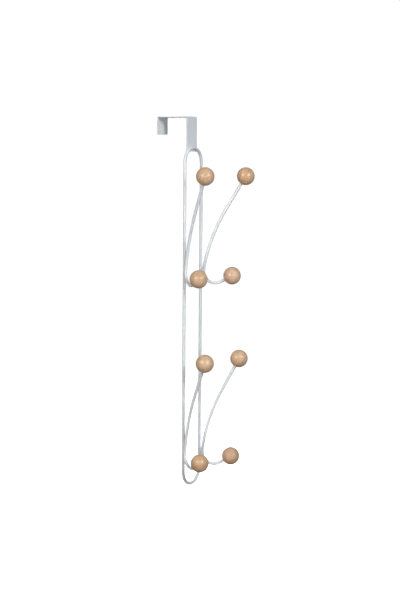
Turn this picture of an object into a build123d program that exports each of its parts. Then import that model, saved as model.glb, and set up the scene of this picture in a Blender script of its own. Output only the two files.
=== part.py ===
"""Over-the-door hook rack: a bent steel strap, a closed wire loop, four double hooks and eight wooden balls.

Millimetres. The origin is the middle of the bracket's underside, where it rests on the door's top edge.
+X is to the right for a person facing the rack, +Y points into the room on the far side of the door, +Z is up.
"""

import os
from math import cos, radians, sin, sqrt, tan

from build123d import *

os.makedirs("parts", exist_ok=True)

# ---------------------------------------------------------------- driving dimensions
wire_diameter = 4.5  # every wire of the rack

# Bracket: one strip of strap, bent twice over the door
strap_width = 25.0
strap_thickness = 1.5
strap_inner_bend = 1.0
strap_corner_radius = 1.5  # the sheared corners of its two ends
strap_edge_radius = 0.35  # edges rounded by deburring and coating
door_gap = 48.0  # between the front plate and the rear flange
front_plate_height = 48.5  # from the bracket's top face
rear_flange_height = 25.0  # from the bracket's top face

# Loop: one wire bent into a long ring, which hangs flat against the front plate
loop_width = 41.5  # between the centres of its two side wires
loop_length = 475.0  # between the centres of the wire at its top and bottom
loop_drop = 41.5  # from the door's top edge to the wire's centre at the loop's top

# Hooks: four equal bent wires, each welded by its back to a side wire of the loop
hook_weld_run = 3.0  # short upright stretch along the side wire
hook_bend_radius = 16.5  # the crook below and the first turn above
crook_turn = 120.0  # from straight down to the lower ball
crook_straight = 18.0  # from the crook to the lower ball's centre
arm_first_turn = 9.0
arm_radius = 254.0
arm_lean = 29.0  # of the arm's straight end, from upright
arm_straight = 53.0  # from the arm's bow to the upper ball's centre

# Each hook as it is welded: side (-1 left, 1 right), height of the weld, splay from straight
# ahead, and the small lean that it was welded with.
hooks = {
    "upper_left": (-1, -212.0, 30.5, 1.5),
    "upper_right": (1, -213.0, 27.5, 1.5),
    "lower_left": (-1, -469.5, 26.0, -1.0),
    "lower_right": (1, -474.0, 28.0, -1.5),
}

# Balls: turned beech with a blind hole, glued on the wire's end
ball_diameter = 25.0
ball_hole_clearance = 0.05  # on the radius, for the glue
ball_hole_depth = 12.0
ball_hole_chamfer = 0.4
drill_point_angle = 118.0

# Weld beads, each a round-ended run of filler metal in the groove between two pieces
bead_radius = 1.1
bead_root = 0.25  # how deep a bead on the front plate is cut back to lie flush on it
bead_offset = 1.6  # of the bead's middle line, from the line where the two pieces touch
hook_bead_length = 9.0
bracket_bead_length = 9.0
bracket_bead_angle = 20.0  # of the bead's middle, from the loop's top

# ---------------------------------------------------------------- places worked out from them
wire_radius = wire_diameter / 2
ball_radius = ball_diameter / 2
plate_front_y = -door_gap / 2 - strap_thickness
loop_y = plate_front_y - wire_radius
loop_bend_radius = loop_width / 2
loop_top_centre_z = -loop_drop - loop_bend_radius
loop_bottom_centre_z = -loop_drop - loop_length + loop_bend_radius


def finish(builder, name):
    """Labels a finished piece, writes its STEP file and prints its volume."""
    builder.part.label = name
    export_step(builder.part, f"parts/{name}.step")
    print(f"{name}: {builder.part.volume:.1f} mm3")


# ---------------------------------------------------------------- bracket
middle_of_strap = strap_thickness / 2
with BuildPart() as door_bracket:
    with BuildSketch(Plane.YZ):
        with BuildLine():
            FilletPolyline(
                (-door_gap / 2 - middle_of_strap, strap_thickness - front_plate_height),
                (-door_gap / 2 - middle_of_strap, middle_of_strap),
                (door_gap / 2 + middle_of_strap, middle_of_strap),
                (door_gap / 2 + middle_of_strap, strap_thickness - rear_flange_height),
                radius=strap_inner_bend + middle_of_strap,
            )
        trace(line_width=strap_thickness)
    extrude(amount=strap_width / 2, both=True)
    end_corners = door_bracket.edges().filter_by(Axis.Y).group_by(Axis.Z)
    fillet(end_corners[0] + end_corners[1], strap_corner_radius)
    side_faces = door_bracket.faces().filter_by(Plane.YZ)
    fillet(side_faces.edges(), strap_edge_radius)
finish(door_bracket, "door_bracket")

# ---------------------------------------------------------------- loop
with BuildPart() as wire_loop:
    with BuildLine(Plane.XZ.offset(-loop_y)):
        Line((-loop_bend_radius, loop_bottom_centre_z), (-loop_bend_radius, loop_top_centre_z))
        CenterArc((0, loop_top_centre_z), loop_bend_radius, 180, -180)
        Line((loop_bend_radius, loop_top_centre_z), (loop_bend_radius, loop_bottom_centre_z))
        CenterArc((0, loop_bottom_centre_z), loop_bend_radius, 0, -180)
    with BuildSketch(Plane((-loop_bend_radius, loop_y, loop_bottom_centre_z))):
        Circle(wire_radius)
    sweep()
finish(wire_loop, "wire_loop")


# ---------------------------------------------------------------- weld beads
def make_beads(name, middles, along, across, length, neighbours):
    """Round-ended beads that lie along a groove at each given middle, less the pieces that they join."""
    straight = length / 2 - bead_radius
    with BuildPart() as beads:
        for middle in middles:
            with BuildSketch(Plane(middle, x_dir=across, z_dir=across.cross(along))):
                with BuildLine():
                    Polyline((bead_radius, straight), (bead_radius, -straight))
                    RadiusArc((bead_radius, -straight), (0, -length / 2), bead_radius)
                    Line((0, -length / 2), (0, length / 2))
                    RadiusArc((0, length / 2), (bead_radius, straight), bead_radius)
                make_face()
            revolve(axis=Axis(middle, along))
        for neighbour in neighbours:
            add(neighbour.part, mode=Mode.SUBTRACT)
    finish(beads, name)


def make_straight_wire(middle, along, length):
    """A straight length of wire, the shape that a groove is cut to."""
    with BuildPart(Plane(middle, z_dir=along)) as wire:
        Cylinder(wire_radius, length)
    return wire


for side_name, side in (("left", -1), ("right", 1)):
    angle = radians(bracket_bead_angle)
    radial = Vector(side * sin(angle), 0, cos(angle))
    groove = Vector(0, plate_front_y, loop_top_centre_z) + radial * (loop_bend_radius + bead_offset)
    make_beads(
        f"bracket_weld_{side_name}",
        [groove - Vector(0, bead_radius - bead_root, 0)],
        Vector(cos(angle), 0, -side * sin(angle)),
        radial,
        bracket_bead_length,
        (door_bracket, wire_loop),
    )


# ---------------------------------------------------------------- hooks, their beads and their balls
def hook_plane(side, height, splay, lean):
    """The plane that a hook lies in: x out from the weld, y up the wire, origin at the weld's middle."""
    up = Vector(0, 0, 1)
    outward = Vector(side * sin(radians(splay)), -cos(radians(splay)), 0)
    stand_off = wire_diameter + hook_weld_run / 2 * sin(radians(abs(lean)))
    weld = Vector(side * loop_width / 2, loop_y, height) + outward * stand_off
    leaning_out = outward * cos(radians(lean)) - up * sin(radians(lean))
    return Plane(weld, x_dir=leaning_out, z_dir=outward.cross(up))


def make_ball(name, centre, along, across):
    """A ball with its blind hole facing back down the wire, which runs along the hole's axis."""
    hole_radius = wire_radius + ball_hole_clearance
    mouth_radius = hole_radius + ball_hole_chamfer
    mouth_y = -sqrt(ball_radius**2 - mouth_radius**2)
    bottom_y = ball_hole_depth - ball_radius
    point_y = bottom_y + hole_radius / tan(radians(drill_point_angle / 2))
    with BuildPart() as ball:
        with BuildSketch(Plane(centre, x_dir=across, z_dir=across.cross(along))):
            with BuildLine():
                ThreePointArc((0, ball_radius), (ball_radius, 0), (mouth_radius, mouth_y))
                Polyline(
                    (mouth_radius, mouth_y),
                    (hole_radius, mouth_y + ball_hole_chamfer),
                    (hole_radius, bottom_y),
                    (0, point_y),
                    (0, ball_radius),
                )
            make_face()
        revolve(axis=Axis(centre, along))
    finish(ball, name)


for hook_name, (side, height, splay, lean) in hooks.items():
    plane = hook_plane(side, height, splay, lean)
    with BuildPart() as hook:
        with BuildLine(plane):
            back = Line((0, -hook_weld_run / 2), (0, hook_weld_run / 2))
            first_turn = JernArc(back @ 1, back % 1, hook_bend_radius, -arm_first_turn)
            bow = JernArc(first_turn @ 1, first_turn % 1, arm_radius, arm_first_turn - arm_lean)
            arm = PolarLine(bow @ 1, arm_straight + ball_hole_depth - ball_radius, direction=bow % 1)
            crook = JernArc(back @ 0, -(back % 0), hook_bend_radius, crook_turn)
            PolarLine(crook @ 1, crook_straight + ball_hole_depth - ball_radius, direction=crook % 1)
        with BuildSketch(Plane(arm @ 1, z_dir=arm % 1)):
            Circle(wire_radius)
        sweep()
    finish(hook, f"{hook_name}_hook")

    contact = plane.origin - plane.x_dir * wire_radius
    make_beads(
        f"{hook_name}_hook_weld",
        [contact + plane.z_dir * bead_offset, contact - plane.z_dir * bead_offset],
        Vector(0, 0, 1),
        plane.z_dir,
        hook_bead_length,
        (wire_loop, make_straight_wire(plane.origin, plane.y_dir, 2 * hook_bead_length)),
    )
    upper_centre = (bow @ 1) + (bow % 1) * arm_straight
    lower_centre = (crook @ 1) + (crook % 1) * crook_straight
    make_ball(f"{hook_name}_top_ball", upper_centre, bow % 1, plane.z_dir)
    make_ball(f"{hook_name}_bottom_ball", lower_centre, crook % 1, plane.z_dir)
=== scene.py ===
"""Looks of an over-the-door hook rack: white powder-coated wire and strap, and turned beech balls.

Metres, in the CAD model's frame: +X right, +Y through the door, +Z up, origin under the bracket's top.
"""

from math import atan2, ceil, cos, pi, radians, sin, sqrt, tan

import bmesh
import bpy
from mathutils import Matrix, Vector, noise


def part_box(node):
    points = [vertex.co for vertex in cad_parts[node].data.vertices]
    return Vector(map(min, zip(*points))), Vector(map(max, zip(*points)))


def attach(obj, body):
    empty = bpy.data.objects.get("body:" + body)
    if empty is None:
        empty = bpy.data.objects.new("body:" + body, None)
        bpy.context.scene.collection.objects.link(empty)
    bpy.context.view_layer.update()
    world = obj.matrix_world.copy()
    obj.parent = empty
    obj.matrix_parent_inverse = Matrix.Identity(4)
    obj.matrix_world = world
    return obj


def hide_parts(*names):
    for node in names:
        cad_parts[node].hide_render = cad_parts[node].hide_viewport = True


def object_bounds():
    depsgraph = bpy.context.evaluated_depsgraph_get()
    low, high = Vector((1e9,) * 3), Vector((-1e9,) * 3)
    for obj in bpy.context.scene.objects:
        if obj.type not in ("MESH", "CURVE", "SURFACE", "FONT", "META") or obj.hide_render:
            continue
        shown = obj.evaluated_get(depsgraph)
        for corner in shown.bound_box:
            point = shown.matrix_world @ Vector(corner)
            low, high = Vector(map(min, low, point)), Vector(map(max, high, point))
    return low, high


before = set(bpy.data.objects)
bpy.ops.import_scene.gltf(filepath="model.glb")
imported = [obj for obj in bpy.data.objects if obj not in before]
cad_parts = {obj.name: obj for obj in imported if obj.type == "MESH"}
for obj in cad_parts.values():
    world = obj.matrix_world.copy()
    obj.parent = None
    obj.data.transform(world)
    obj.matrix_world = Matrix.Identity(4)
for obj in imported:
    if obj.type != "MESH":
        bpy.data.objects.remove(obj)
cad_low, cad_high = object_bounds()

MM = 0.001
UP = Vector((0, 0, 1))

# ---------------------------------------------------------------- sizes read from the frame
loop_low, loop_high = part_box("wire_loop")
WIRE_RADIUS = (loop_high.y - loop_low.y) / 2
LOOP_Y = (loop_high.y + loop_low.y) / 2
LOOP_BEND = (loop_high.x - loop_low.x) / 2 - WIRE_RADIUS
LOOP_TOP = loop_high.z - WIRE_RADIUS - LOOP_BEND
LOOP_BOTTOM = loop_low.z + WIRE_RADIUS + LOOP_BEND

strap_low, strap_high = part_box("door_bracket")
STRAP_THICKNESS = strap_high.z  # the frame's origin is the underside of the bracket's top
STRAP_WIDTH = strap_high.x - strap_low.x

ball_low, ball_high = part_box("upper_left_top_ball")
BALL_RADIUS = (ball_high.z - ball_low.z) / 2

# ---------------------------------------------------------------- sizes of bends, hooks and holes
REAR_FLANGE_HEIGHT = 25.0 * MM  # from the bracket's top face
STRAP_BEND = 1.0 * MM  # inside radius
STRAP_CORNER = 1.5 * MM  # the sheared corners of its two ends
STRAP_EDGE = 0.35 * MM  # edges rounded by deburring and coating

HOOK_RUN = 3.0 * MM  # short upright stretch along the side wire
HOOK_BEND = 16.5 * MM  # the crook below and the first turn above
CROOK_TURN = 120.0
CROOK_STRAIGHT = 18.0 * MM  # from the crook to the lower ball's centre
ARM_FIRST_TURN = 9.0
ARM_RADIUS = 254.0 * MM
ARM_LEAN = 29.0  # of the arm's straight end, from upright
ARM_STRAIGHT = 53.0 * MM  # from the arm's bow to the upper ball's centre

# Each hook as it is welded: side (-1 left, 1 right), height of the weld, splay from straight ahead, lean.
HOOKS = {
    "upper_left": (-1, -212.0 * MM, 30.5, 1.5),
    "upper_right": (1, -213.0 * MM, 27.5, 1.5),
    "lower_left": (-1, -469.5 * MM, 26.0, -1.0),
    "lower_right": (1, -474.0 * MM, 28.0, -1.5),
}

HOLE_CLEARANCE = 0.05 * MM  # on the radius, for the glue
HOLE_DEPTH = 12.0 * MM
HOLE_CHAMFER = 0.4 * MM
DRILL_POINT = 118.0

BEAD_RADIUS = 1.1 * MM
BEAD_ROOT = 0.25 * MM  # how deep a bead on the front plate reaches into it
BEAD_OFFSET = 1.6 * MM  # of the bead's middle line, from the line where the two pieces touch
HOOK_BEAD_LENGTH = 9.0 * MM
BRACKET_BEAD_LENGTH = 9.0 * MM
BRACKET_BEAD_ANGLE = 20.0  # of the bead's middle, from the loop's top

# ---------------------------------------------------------------- fine shapes, finer than the CAD model's
COAT_WAVE = 5.0 * MM  # the slow unevenness of sprayed powder
COAT_DEPTH = 0.015 * MM
BEND_OVALITY = 0.22  # how much a wire flattens, for a bend as tight as its own radius
BALL_WAVE = 9.0 * MM  # the slow unevenness of a sanded ball
BALL_DEPTH = 0.0015  # as a share of the ball's radius
BEAD_RIPPLES = 7  # marks of the moving pool along a weld bead
BEAD_RIPPLE_DEPTH = 0.07
BEAD_LEAN = 0.16  # how far a ripple's crown lags behind its feet, as a share of the bead's radius
BEAD_END_SHAPE = 3.5  # higher is blunter
BEAD_TIP = 0.08  # the radius left at a bead's very ends, as a share of its full radius
CROOK_WEAR_REACH = 16.0 * MM  # each way along the wire, from the crook's lowest point
END_WEAR_REACH = 1.5 * MM  # from the strap's ends

# Each ball's wood: how dark and how red it is, and which way its grain lies (turns about X and Z).
BALL_WOOD = {
    "upper_left_top_ball": (0.24, 0.35, 10, 20),
    "upper_left_bottom_ball": (0.34, 0.45, -25, 110),
    "upper_right_top_ball": (0.85, 0.25, 35, 75),
    "upper_right_bottom_ball": (0.15, 1.00, -15, 200),
    "lower_left_top_ball": (0.10, 0.35, 20, 310),
    "lower_left_bottom_ball": (0.62, 0.30, -35, 160),
    "lower_right_top_ball": (0.36, 0.40, 15, 250),
    "lower_right_bottom_ball": (1.00, 1.00, 30, 35),
}


# ---------------------------------------------------------------- materials
class Nodes:
    """A material's node tree, with short ways to add and join nodes."""

    def __init__(self, name):
        self.material = bpy.data.materials.new(name)
        self.material.use_nodes = True
        self.tree = self.material.node_tree
        self.shader = self.tree.nodes["Principled BSDF"]

    def add(self, kind, **settings):
        node = self.tree.nodes.new(kind)
        for key, value in settings.items():
            setattr(node, key, value)
        return node

    def join(self, source, target):
        self.tree.links.new(source, target)

    def scaled(self, vector, scale):
        """The vector with each axis multiplied by its own scale."""
        node = self.add("ShaderNodeVectorMath", operation="MULTIPLY")
        self.join(vector, node.inputs[0])
        node.inputs[1].default_value = scale
        return node.outputs[0]

    def noise(self, vector, scale, detail=2.0, roughness=0.5):
        node = self.add("ShaderNodeTexNoise")
        node.inputs["Scale"].default_value = scale
        node.inputs["Detail"].default_value = detail
        node.inputs["Roughness"].default_value = roughness
        self.join(vector, node.inputs["Vector"])
        return node.outputs["Fac"]

    def spread(self, value, low, high, to_low=0.0, to_high=1.0):
        """Maps low..high to to_low..to_high, clamped."""
        node = self.add("ShaderNodeMapRange")
        self.join(value, node.inputs["Value"])
        node.inputs["From Min"].default_value = low
        node.inputs["From Max"].default_value = high
        node.inputs["To Min"].default_value = to_low
        node.inputs["To Max"].default_value = to_high
        return node.outputs["Result"]

    def math(self, operation, first, second):
        node = self.add("ShaderNodeMath", operation=operation)
        self.join(first, node.inputs[0])
        self.join(second, node.inputs[1])
        return node.outputs[0]

    def multiply(self, first, second):
        return self.math("MULTIPLY", first, second)

    def plus(self, first, second):
        return self.math("ADD", first, second)

    def mix(self, factor, first, second):
        """Mixes two colours, each a socket or an RGB triple, by a factor's socket."""
        node = self.add("ShaderNodeMix", data_type="RGBA")
        self.join(factor, node.inputs[0])
        for socket, colour in ((node.inputs[6], first), (node.inputs[7], second)):
            if isinstance(colour, tuple):
                socket.default_value = (*colour, 1)
            else:
                self.join(colour, socket)
        return node.outputs[2]

    def bump(self, height, strength, distance, before=None):
        node = self.add("ShaderNodeBump")
        node.inputs["Strength"].default_value = strength
        node.inputs["Distance"].default_value = distance
        self.join(height, node.inputs["Height"])
        if before is not None:
            self.join(before, node.inputs["Normal"])
        return node.outputs["Normal"]


def powder_coat():
    """Satin white powder coat: orange peel, grit, a cloudy tone, and a duller grey where it is rubbed."""
    n = Nodes("white_powder_coat")
    place = n.add("ShaderNodeTexCoord").outputs["Object"]
    in_mm = n.scaled(place, (1 / MM, 1 / MM, 1 / MM))
    worn = n.add("ShaderNodeAttribute", attribute_name="wear").outputs["Fac"]
    peel = n.noise(in_mm, 0.9, 2.0)
    grit = n.noise(in_mm, 5.0, 3.0, 0.6)
    cloud = n.noise(in_mm, 0.05, 3.0)
    scuff = n.noise(n.scaled(in_mm, (0.9, 0.9, 2.2)), 1.0, 4.0, 0.7)
    tint = n.mix(n.spread(cloud, 0.35, 0.65), (0.80, 0.81, 0.82), (0.85, 0.855, 0.86))
    specked = n.mix(n.spread(grit, 0.58, 0.72, 0.0, 0.45), tint, (0.70, 0.71, 0.72))
    rubbed = n.multiply(worn, n.spread(scuff, 0.42, 0.62))
    colour = n.mix(rubbed, specked, (0.66, 0.665, 0.67))
    n.join(colour, n.shader.inputs["Base Color"])
    sheen = n.spread(peel, 0.3, 0.7, 0.33, 0.43)
    n.join(n.plus(sheen, n.spread(rubbed, 0.0, 1.0, 0.0, 0.14)), n.shader.inputs["Roughness"])
    fine = n.bump(grit, 0.45, 0.06 * MM)
    n.join(n.bump(peel, 0.70, 0.15 * MM, fine), n.shader.inputs["Normal"])
    n.shader.inputs["IOR"].default_value = 1.5
    n.shader.inputs["Coat Weight"].default_value = 0.15
    n.shader.inputs["Coat Roughness"].default_value = 0.25
    return n.material


def beech():
    """Beech under clear satin lacquer: growth rings, ray flecks and pores along the grain, and lathe lines.

    The grain runs through the solid ball. Its vector and the lathe's are stored on the mesh, in millimetres,
    and each ball carries its own darkness and redness.
    """
    n = Nodes("beech_wood")
    grain = n.add("ShaderNodeAttribute", attribute_name="grain").outputs["Vector"]
    lathe = n.add("ShaderNodeAttribute", attribute_name="lathe").outputs["Vector"]
    dark = n.add("ShaderNodeAttribute", attribute_type="OBJECT", attribute_name="darkness").outputs["Fac"]
    red = n.add("ShaderNodeAttribute", attribute_type="OBJECT", attribute_name="redness").outputs["Fac"]

    wander = n.noise(n.scaled(grain, (0.10, 0.10, 0.03)), 1.0, 3.0)
    rings = n.add("ShaderNodeTexWave", wave_type="RINGS", rings_direction="Z", wave_profile="SAW")
    rings.inputs["Scale"].default_value = 0.12
    rings.inputs["Distortion"].default_value = 1.8
    rings.inputs["Detail"].default_value = 2.0
    rings.inputs["Detail Scale"].default_value = 0.6
    n.join(grain, rings.inputs["Vector"])
    fibre = n.noise(n.scaled(grain, (4.5, 4.5, 0.25)), 1.0, 4.0, 0.65)
    flecks = n.noise(n.scaled(grain, (2.6, 3.6, 0.55)), 1.0, 1.0, 0.4)
    pores = n.noise(n.scaled(grain, (9.0, 9.0, 0.9)), 1.0, 1.0, 0.5)
    mottle = n.noise(n.scaled(grain, (0.35, 0.35, 0.16)), 1.0, 2.0, 0.6)

    pale = n.mix(red, (0.86, 0.58, 0.355), (0.85, 0.575, 0.425))
    deep = n.mix(red, (0.70, 0.41, 0.21), (0.69, 0.42, 0.285))
    base = n.mix(dark, pale, deep)
    ringed = n.mix(n.spread(rings.outputs["Fac"], 0.50, 1.0, 0.0, 0.62), base, (0.52, 0.29, 0.13))
    clouded = n.mix(n.spread(wander, 0.38, 0.62, 0.0, 0.50), ringed, (0.92, 0.67, 0.44))
    mottled = n.mix(n.spread(mottle, 0.45, 0.66, 0.0, 0.75), clouded, (0.67, 0.38, 0.19))
    streaked = n.mix(n.spread(fibre, 0.40, 0.70, 0.0, 0.38), mottled, (0.52, 0.29, 0.14))
    fleck_mask = n.spread(flecks, 0.62, 0.71, 0.0, 0.60)
    flecked = n.mix(fleck_mask, streaked, (0.36, 0.17, 0.08))
    pore_mask = n.spread(pores, 0.66, 0.74, 0.0, 0.50)
    colour = n.mix(pore_mask, flecked, (0.28, 0.14, 0.07))
    n.join(colour, n.shader.inputs["Base Color"])

    turning = n.noise(n.scaled(lathe, (0.05, 0.05, 3.2)), 1.0, 2.0, 0.6)
    n.join(n.spread(fibre, 0.3, 0.7, 0.46, 0.58), n.shader.inputs["Roughness"])
    sunk = n.bump(pore_mask, 0.20, -0.05 * MM)
    along_grain = n.bump(fibre, 0.14, 0.06 * MM, sunk)
    n.join(n.bump(turning, 0.16, 0.05 * MM, along_grain), n.shader.inputs["Normal"])
    n.shader.inputs["IOR"].default_value = 1.48
    n.shader.inputs["Coat Weight"].default_value = 0.65
    n.shader.inputs["Coat Roughness"].default_value = 0.20
    return n.material


WHITE_COAT = powder_coat()
BEECH = beech()


# ---------------------------------------------------------------- mesh helpers
SHARP_ANGLE = radians(38)
# A finish is a material, its slot and the ending of a piece's name.
COAT = (WHITE_COAT, "white_powder_coat", "_coated")
WOOD = (BEECH, "beech_wood", "_turned")


def make_piece(node, vertices, faces, finish, wear=()):
    """A smooth-shaded piece that rides on the rack and stands for the CAD node that it is named after."""
    material, slot, suffix = finish
    name = node + suffix
    mesh = bpy.data.meshes.new(name)
    mesh.from_pydata([tuple(v) for v in vertices], [], faces)
    tidy = bmesh.new()
    tidy.from_mesh(mesh)
    bmesh.ops.recalc_face_normals(tidy, faces=tidy.faces)
    tidy.to_mesh(mesh)
    tidy.free()
    mesh.polygons.foreach_set("use_smooth", [True] * len(mesh.polygons))
    mesh.set_sharp_from_angle(angle=SHARP_ANGLE)
    if wear:
        mesh.attributes.new("wear", "FLOAT", "POINT").data.foreach_set("value", wear)
    mesh.materials.append(material)
    piece = bpy.data.objects.new(name, mesh)
    bpy.context.scene.collection.objects.link(piece)
    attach(piece, "root")
    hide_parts(node)
    return piece


def skin(rings, closed=False):
    """Quads between neighbouring rings of equal size, with a flat cap at each open end."""
    count = len(rings[0])
    vertices = [v for ring in rings for v in ring]
    faces = []
    for i in range(len(rings) if closed else len(rings) - 1):
        a, b = i * count, (i + 1) % len(rings) * count
        for k in range(count):
            j = (k + 1) % count
            faces.append((a + k, a + j, b + j, b + k))
    if not closed:
        faces.append(tuple(range(count)))
        faces.append(tuple(range((len(rings) - 1) * count, len(rings) * count)))
    return vertices, faces


def lay_path(start, heading, runs, run_step, bend_step):
    """Stations (x, y, heading, curvature, distance) along straight runs and tangent arcs.

    A run is (length,) or (radius, turn in degrees), where a positive turn is to the left.
    """
    x, y = start
    distance = 0.0
    stations = [(x, y, heading, 0.0, distance)]
    for run in runs:
        if len(run) == 1:
            count = max(1, ceil(run[0] / run_step))
            for _ in range(count):
                x += cos(heading) * run[0] / count
                y += sin(heading) * run[0] / count
                distance += run[0] / count
                stations.append((x, y, heading, 0.0, distance))
            continue
        radius, turn = run[0], radians(run[1])
        count = max(2, ceil(radius * abs(turn) / bend_step))
        side = 1 if turn > 0 else -1
        centre_x = x - side * radius * sin(heading)
        centre_y = y + side * radius * cos(heading)
        for _ in range(count):
            heading += turn / count
            distance += radius * abs(turn) / count
            x = centre_x + side * radius * sin(heading)
            y = centre_y - side * radius * cos(heading)
            stations.append((x, y, heading, side / radius, distance))
    return stations


def coat_swell(point):
    """How far the coat stands proud or shy at a point: the slow unevenness of sprayed powder."""
    return COAT_DEPTH * noise.noise(point / COAT_WAVE)


def sweep_wire(node, origin, x_axis, y_axis, stations, closed=False, wear_at=None, around=32):
    """A round wire along flat stations. A tight bend leaves it a little flat across the bend.

    wear_at gives the wear at a station's distance along the wire and at an angle round it, where 0 is the
    side to the left of the station's heading.
    """
    normal = x_axis.cross(y_axis)
    rings, wear = [], []
    count = len(stations)
    for i, (x, y, heading, _, distance) in enumerate(stations):
        near = [k % count if closed else min(max(k, 0), count - 1) for k in range(i - 2, i + 3)]
        squeeze = BEND_OVALITY * WIRE_RADIUS * sum(abs(stations[k][3]) for k in near) / len(near)
        middle = origin + x_axis * x + y_axis * y
        across = y_axis * cos(heading) - x_axis * sin(heading)
        ring = []
        for k in range(around):
            angle = 2 * pi * k / around
            spoke = across * cos(angle) * (1 - squeeze) + normal * sin(angle) * (1 + squeeze / 2)
            point = middle + spoke * WIRE_RADIUS
            ring.append(point + spoke.normalized() * coat_swell(point))
            if wear_at:
                wear.append(wear_at(distance, angle))
        rings.append(ring)
    vertices, faces = skin(rings, closed)
    make_piece(node, vertices, faces, COAT, wear)


# ---------------------------------------------------------------- loop
def make_loop():
    """The long closed ring, from the foot of its left side wire and round over the top."""
    side_run = LOOP_TOP - LOOP_BOTTOM
    runs = [(side_run,), (LOOP_BEND, -180), (side_run,), (LOOP_BEND, -180)]
    start = (-LOOP_BEND, LOOP_BOTTOM)
    stations = lay_path(start, pi / 2, runs, run_step=2.5 * MM, bend_step=1.0 * MM)
    del stations[-1]  # it is the first one again
    sweep_wire("wire_loop", Vector((0, LOOP_Y, 0)), Vector((1, 0, 0)), UP, stations, closed=True)


# ---------------------------------------------------------------- hooks and balls
def hook_axes(side, height, splay, lean):
    """Origin at the weld's middle, the outward axis and the axis up the wire of a hook."""
    outward = Vector((side * sin(radians(splay)), -cos(radians(splay)), 0))
    stand_off = 2 * WIRE_RADIUS + HOOK_RUN / 2 * sin(radians(abs(lean)))
    origin = Vector((side * LOOP_BEND, LOOP_Y, height)) + outward * stand_off
    turn = Matrix.Rotation(radians(-lean), 3, outward.cross(UP))
    return origin, turn @ outward, turn @ UP


def ball_profile(latitudes):
    """Radius and height from the ball's top, round its outside, over the chamfer and up into its hole."""
    hole = WIRE_RADIUS + HOLE_CLEARANCE
    mouth = hole + HOLE_CHAMFER
    mouth_height = -sqrt(BALL_RADIUS**2 - mouth**2)
    floor_height = HOLE_DEPTH - BALL_RADIUS
    point_height = floor_height + hole / tan(radians(DRILL_POINT / 2))
    first = radians(1)
    last = pi - atan2(mouth, -mouth_height)
    profile = []
    for i in range(latitudes + 1):
        angle = first + (last - first) * i / latitudes
        profile.append((BALL_RADIUS * sin(angle), BALL_RADIUS * cos(angle)))
    profile.append((hole + HOLE_CHAMFER / 3, mouth_height + HOLE_CHAMFER / 2))
    for part in (0.0, 0.3, 0.6):
        profile.append((hole, mouth_height + HOLE_CHAMFER + (floor_height - mouth_height) * part))
    profile.append((hole, floor_height))
    profile.append((hole * 0.03, point_height))
    return profile


def make_ball(name, centre, along):
    """A turned ball. Its hole faces back down the wire, which runs along the given direction."""
    latitudes, around = 64, 96
    across = along.orthogonal().normalized()
    beside = along.cross(across)
    shift = centre * 100  # gives each ball an unevenness of its own
    rings, local = [], []
    for radius, height in ball_profile(latitudes):
        ring = []
        for k in range(around):
            angle = 2 * pi * k / around
            spot = Vector((radius * cos(angle), radius * sin(angle), height))
            if spot.length > BALL_RADIUS * 0.99:  # on the outside, not in the hole
                spot *= 1 + BALL_DEPTH * noise.noise(spot / BALL_WAVE + shift)
            local.append(spot)
            ring.append(centre + across * spot.x + beside * spot.y + along * spot.z)
        rings.append(ring)
    vertices, faces = skin(rings)
    ball = make_piece(name, vertices, faces, WOOD)

    darkness, redness, tilt, spin = BALL_WOOD[name]
    ball["darkness"] = darkness
    ball["redness"] = redness
    lie = Matrix.Rotation(radians(tilt), 3, "X") @ Matrix.Rotation(radians(spin), 3, "Z")
    from_pith = Vector((55 + spin / 10, 12, tilt))  # millimetres from the tree's middle
    grain = ball.data.attributes.new("grain", "FLOAT_VECTOR", "POINT")
    lathe = ball.data.attributes.new("lathe", "FLOAT_VECTOR", "POINT")
    for grain_value, lathe_value, spot in zip(grain.data, lathe.data, local):
        grain_value.vector = lie @ (spot / MM) + from_pith
        lathe_value.vector = spot / MM


def make_hook(name, side, height, splay, lean):
    """A double hook with its two balls and its pair of weld beads."""
    origin, outward, upward = hook_axes(side, height, splay, lean)
    in_ball = HOLE_DEPTH - BALL_RADIUS
    crook = [(HOOK_BEND, CROOK_TURN), (CROOK_STRAIGHT + in_ball,)]
    arm = [
        (HOOK_RUN,),
        (HOOK_BEND, -ARM_FIRST_TURN),
        (ARM_RADIUS, ARM_FIRST_TURN - ARM_LEAN),
        (ARM_STRAIGHT + in_ball,),
    ]
    start = (0, -HOOK_RUN / 2)
    below = lay_path(start, -pi / 2, crook, run_step=1.5 * MM, bend_step=1.0 * MM)
    above = lay_path(start, pi / 2, arm, run_step=1.5 * MM, bend_step=1.5 * MM)
    turned_back = [(x, y, heading + pi, -bend, -distance) for x, y, heading, bend, distance in below[:0:-1]]
    low_point = HOOK_BEND * radians(90)  # its distance down the crook

    def rubbed(distance, angle):
        """Straps and coat loops rub the inside of the crook, most of all at its lowest point."""
        near_low = max(0.0, 1 - abs(-distance - low_point) / CROOK_WEAR_REACH)
        return near_low * max(0.0, -cos(angle))

    sweep_wire(name + "_hook", origin, outward, upward, turned_back + above, wear_at=rubbed)

    for end, (x, y, heading, _, _) in (("bottom", below[-1]), ("top", above[-1])):
        along = outward * cos(heading) + upward * sin(heading)
        centre = origin + outward * x + upward * y - along * in_ball
        make_ball(f"{name}_{end}_ball", centre, along)

    contact = origin - outward * WIRE_RADIUS
    across = outward.cross(UP)
    beads = [(contact + across * BEAD_OFFSET * s, UP, across * s, outward) for s in (1, -1)]
    make_beads(name + "_hook_weld", beads, HOOK_BEAD_LENGTH)


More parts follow.
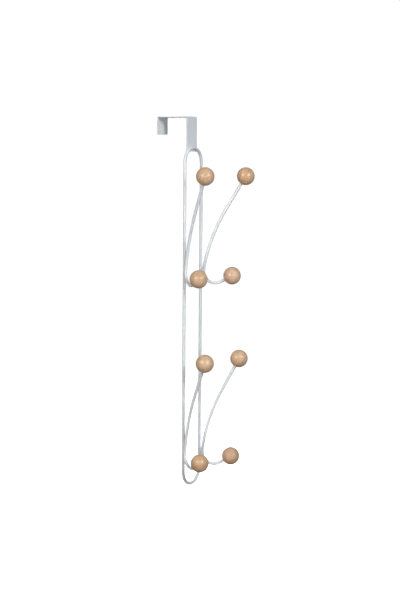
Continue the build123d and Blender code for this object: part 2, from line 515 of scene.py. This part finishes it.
# ---------------------------------------------------------------- weld beads
def make_beads(name, beads, length):
    """Weld beads with the ripples of a moving pool, in one piece; each is (middle, along, out, side)."""
    rings_long, around = 48, 24
    vertices, faces = [], []
    for middle, along, out, side in beads:
        rings = []
        for i in range(rings_long + 1):
            t = -1 + 2 * i / rings_long
            taper = max(BEAD_TIP, (1 - abs(t) ** BEAD_END_SHAPE) ** 0.5)
            phase = (t * 0.5 + 0.5) * BEAD_RIPPLES % 1.0
            ripple = 1 + BEAD_RIPPLE_DEPTH * (1 - phase) ** 2 * taper
            radius = BEAD_RADIUS * taper * ripple
            ring = []
            for k in range(around):
                angle = 2 * pi * k / around
                lean_back = BEAD_LEAN * BEAD_RADIUS * cos(angle)
                spoke = out * radius * cos(angle) + side * radius * sin(angle)
                point = middle + along * (t * length / 2 - lean_back) + spoke
                ring.append(point + (point - middle).normalized() * 2 * coat_swell(point))
            rings.append(ring)
        new_vertices, new_faces = skin(rings)
        faces += [tuple(v + len(vertices) for v in face) for face in new_faces]
        vertices += new_vertices
    make_piece(name, vertices, faces, COAT)


def make_bracket_welds():
    """The two beads that join the ring's top arc to the front plate."""
    bead_y = LOOP_Y + WIRE_RADIUS - (BEAD_RADIUS - BEAD_ROOT)
    for side_name, side in (("left", -1), ("right", 1)):
        angle = radians(BRACKET_BEAD_ANGLE)
        radial = Vector((side * sin(angle), 0, cos(angle)))
        along = Vector((cos(angle), 0, -side * sin(angle)))
        middle = Vector((0, bead_y, LOOP_TOP)) + radial * (LOOP_BEND + BEAD_OFFSET)
        bead = (middle, along, radial, Vector((0, -1, 0)))
        make_beads(f"bracket_weld_{side_name}", [bead], BRACKET_BEAD_LENGTH)


# ---------------------------------------------------------------- bracket
EDGE_STEPS = 6
HALF_FACE_STEPS = [0.98, 0.93, 0.84, 0.70, 0.5, 0.25]  # from a wide face's edge to its middle, as shares
FACE_STEPS = HALF_FACE_STEPS + [0.0] + [-share for share in reversed(HALF_FACE_STEPS)]
END_STEPS = [step * MM for step in (0.03, 0.10, 0.2, 0.3, 0.45, 0.7, 1.0)]  # extra sections near its ends


def face_wear(share):
    """Wear across a wide face, where share runs from -1 to 1 between its edges: none until near an edge."""
    return max(0.0, abs(share) * 2.2 - 1.3) ** 2


def strap_section(half_width, half_thickness, edge):
    """A strap's section with rounded edges, as points (across its width, through its thickness, wear)."""
    points = []
    for sx, sy, first in ((1, 1, 0), (-1, 1, 90), (-1, -1, 180), (1, -1, 270)):
        centre_x, centre_y = sx * (half_width - edge), sy * (half_thickness - edge)
        for k in range(EDGE_STEPS + 1):
            angle = radians(first + 90 * k / EDGE_STEPS)
            points.append((centre_x + edge * cos(angle), centre_y + edge * sin(angle), 1.0))
        if sx == sy:  # a wide face follows this corner
            for share in FACE_STEPS:
                points.append((centre_x * share, sy * half_thickness, face_wear(share)))
    return points


def circle_inset(radius, from_end):
    """How far a corner of the given radius draws in at a distance from the end."""
    return radius - sqrt(max(0.0, radius**2 - max(0.0, radius - from_end) ** 2))


def make_bracket():
    """The strap, bent twice: along its middle line from the rear flange's end to the front plate's end."""
    half = STRAP_THICKNESS / 2
    bend = STRAP_BEND + half
    runs = [
        (REAR_FLANGE_HEIGHT - half - bend,),
        (bend, 90),
        (strap_high.y - strap_low.y - 2 * (half + bend),),
        (bend, 90),
        (strap_high.z - strap_low.z - half - bend,),
    ]
    start = (strap_high.y - half, strap_high.z - REAR_FLANGE_HEIGHT)
    stations = lay_path(start, pi / 2, runs, run_step=1.0 * MM, bend_step=0.25 * MM)
    total = stations[-1][4]
    for end, sign in ((stations[0], 1), (stations[-1], -1)):
        x, y, heading, _, distance = end
        for step in END_STEPS:
            inward = step * sign
            place = (x + cos(heading) * inward, y + sin(heading) * inward)
            stations.append((*place, heading, 0.0, distance + inward))
    stations.sort(key=lambda station: station[4])
    rings, wear = [], []
    for x, y, heading, _, distance in stations:
        from_end = min(distance, total - distance)
        half_width = STRAP_WIDTH / 2 - circle_inset(STRAP_CORNER, from_end)
        half_thickness = half - 0.9 * circle_inset(STRAP_EDGE, from_end)  # its ends are rounded too
        middle = Vector((0, x, y))
        through = Vector((0, -sin(heading), cos(heading)))
        edge = min(STRAP_EDGE, half_thickness * 0.8)
        end_wear = max(0.0, 1 - from_end / END_WEAR_REACH)
        ring = []
        for wide, thick, edge_wear in strap_section(half_width, half_thickness, edge):
            point = middle + Vector((wide, 0, 0)) + through * thick
            ring.append(point + through * (1 if thick > 0 else -1) * coat_swell(point))
            wear.append(max(edge_wear, end_wear))
        rings.append(ring)
    vertices, faces = skin(rings)
    make_piece("door_bracket", vertices, faces, COAT, wear)


make_loop()
for hook_name, place in HOOKS.items():
    make_hook(hook_name, *place)
make_bracket_welds()
make_bracket()

# ---------------------------------------------------------------- stage
RACK_MIDDLE = (cad_low + cad_high) / 2

FLOOR_DROP = 0.25  # below the rack's lowest point
FLOOR_RADIUS = 12.0

CAMERA_AZIMUTH = -57.0
CAMERA_ELEVATION = 6.15
CAMERA_ROLL = 0.42
CAMERA_DISTANCE = 2.008
CAMERA_AIM = Vector((0, LOOP_Y, -0.2543))
CAMERA_ASIDE = 0.0108  # how far right of its aim it stands and looks
CAMERA_LENS = 85.7
CAMERA_SENSOR = 36.0  # along the picture's long side

# Lights: colours, directions and sizes
WARM, COOL, WHITE = (1.0, 0.97, 0.94), (0.85, 0.935, 1.0), (1.0, 1.0, 1.0)
LEFT, RIGHT = CAMERA_AZIMUTH - 38, CAMERA_AZIMUTH + 38
SOFTBOX, CARD, WALL = (0.30, 0.46), (0.38, 0.48), (1.2, 1.2)


def make_floor():
    """A plain pale floor below the hanging rack, which throws no light back on it."""
    around = 96
    edge = [2 * pi * k / around for k in range(around)]
    mesh = bpy.data.meshes.new("studio_floor")
    mesh.from_pydata([(FLOOR_RADIUS * cos(a), FLOOR_RADIUS * sin(a), 0) for a in edge], [], [range(around)])
    floor = bpy.data.objects.new("studio_floor", mesh)
    floor.location = (0, 0, cad_low.z - FLOOR_DROP)
    n = Nodes("pale_floor")
    place = n.add("ShaderNodeTexCoord").outputs["Object"]
    mottle = n.noise(place, 3.0, 3.0)
    pale = n.mix(n.spread(mottle, 0.3, 0.7), (0.93, 0.93, 0.93), (0.96, 0.96, 0.96))
    n.join(pale, n.shader.inputs["Base Color"])
    n.shader.inputs["Roughness"].default_value = 0.8
    n.shader.inputs["Emission Color"].default_value = (1, 1, 1, 1)
    n.shader.inputs["Emission Strength"].default_value = 1.0
    mesh.materials.append(n.material)
    floor.visible_diffuse = False
    floor.visible_glossy = False
    bpy.context.scene.collection.objects.link(floor)


def direction(azimuth, elevation):
    """From the rack towards a place at an azimuth (0 in front, negative to the left) and an elevation."""
    a, e = radians(azimuth), radians(elevation)
    return Vector((sin(a) * cos(e), -cos(a) * cos(e), sin(e)))


def add_light(name, azimuth, elevation, distance, size, power, tint, glossy=False):
    """A soft light turned to the rack. It lights matt colour, or if glossy it shows only as a highlight."""
    light = bpy.data.lights.new(name, "AREA")
    light.shape = "RECTANGLE"
    light.size, light.size_y = size
    light.energy = power
    light.color = tint
    lamp = bpy.data.objects.new(name, light)
    away = direction(azimuth, elevation)
    lamp.location = RACK_MIDDLE + away * distance
    lamp.rotation_euler = away.to_track_quat("Z", "Y").to_euler()
    lamp.visible_diffuse = not glossy
    lamp.visible_glossy = glossy
    bpy.context.scene.collection.objects.link(lamp)


def make_world(front, rear, seen_level):
    """A studio room: dim in front of the rack, paler behind it, and white where it is seen directly."""
    world = bpy.data.worlds.new("studio")
    world.use_nodes = True
    tree = world.node_tree
    room = tree.nodes["Background"]
    room.inputs["Color"].default_value = (0.92, 0.96, 1.0, 1)
    gaze = tree.nodes.new("ShaderNodeTexCoord")
    rearward = tree.nodes.new("ShaderNodeVectorMath")
    rearward.operation = "DOT_PRODUCT"
    rearward.inputs[1].default_value = -direction(CAMERA_AZIMUTH, 0)
    tree.links.new(gaze.outputs["Generated"], rearward.inputs[0])
    level = tree.nodes.new("ShaderNodeMapRange")
    level.interpolation_type = "SMOOTHSTEP"
    level.inputs["From Min"].default_value = -0.3
    level.inputs["From Max"].default_value = 0.8
    level.inputs["To Min"].default_value = front
    level.inputs["To Max"].default_value = rear
    tree.links.new(rearward.outputs["Value"], level.inputs["Value"])
    tree.links.new(level.outputs["Result"], room.inputs["Strength"])
    seen = tree.nodes.new("ShaderNodeBackground")
    seen.inputs["Color"].default_value = (1, 1, 1, 1)
    seen.inputs["Strength"].default_value = seen_level
    path = tree.nodes.new("ShaderNodeLightPath")
    choose = tree.nodes.new("ShaderNodeMixShader")
    tree.links.new(path.outputs["Is Camera Ray"], choose.inputs[0])
    tree.links.new(room.outputs[0], choose.inputs[1])
    tree.links.new(seen.outputs[0], choose.inputs[2])
    tree.links.new(choose.outputs[0], tree.nodes["World Output"].inputs["Surface"])
    bpy.context.scene.world = world


def make_camera():
    """The photo's camera."""
    back = direction(CAMERA_AZIMUTH, CAMERA_ELEVATION)
    level = Vector((cos(radians(CAMERA_AZIMUTH)), sin(radians(CAMERA_AZIMUTH)), 0))
    upright = back.cross(level)
    roll = radians(CAMERA_ROLL)
    right = level * cos(roll) + upright * sin(roll)
    data = bpy.data.cameras.new("photo_camera")
    data.lens = CAMERA_LENS
    data.sensor_width = CAMERA_SENSOR
    data.clip_end = 60.0
    camera = bpy.data.objects.new("photo_camera", data)
    place = CAMERA_AIM + level * CAMERA_ASIDE + back * CAMERA_DISTANCE
    turn = Matrix((right, back.cross(right), back)).transposed().to_4x4()
    camera.matrix_world = Matrix.Translation(place) @ turn
    bpy.context.scene.collection.objects.link(camera)
    bpy.context.scene.camera = camera


make_floor()
make_world(front=0.04, rear=0.20, seen_level=1.05)
add_light("left_light", LEFT, 22, 1.8, SOFTBOX, 12, WARM)
add_light("right_light", RIGHT, 22, 1.8, SOFTBOX, 17, COOL)
add_light("left_card", LEFT, 21, 1.8, CARD, 13, WARM, glossy=True)
add_light("right_card", RIGHT, 21, 1.8, CARD, 13.5, COOL, glossy=True)
add_light("front_fill", CAMERA_AZIMUTH, 2, 2.7, WALL, 23.5, (0.98, 0.99, 1.0))
add_light("rear_fill", CAMERA_AZIMUTH + 205, 8, 2.2, WALL, 38, WHITE)
add_light("top_fill", CAMERA_AZIMUTH, 84, 1.6, (0.8, 0.8), 1.5, WHITE)
make_camera()
bpy.context.scene.view_settings.view_transform = "Standard"
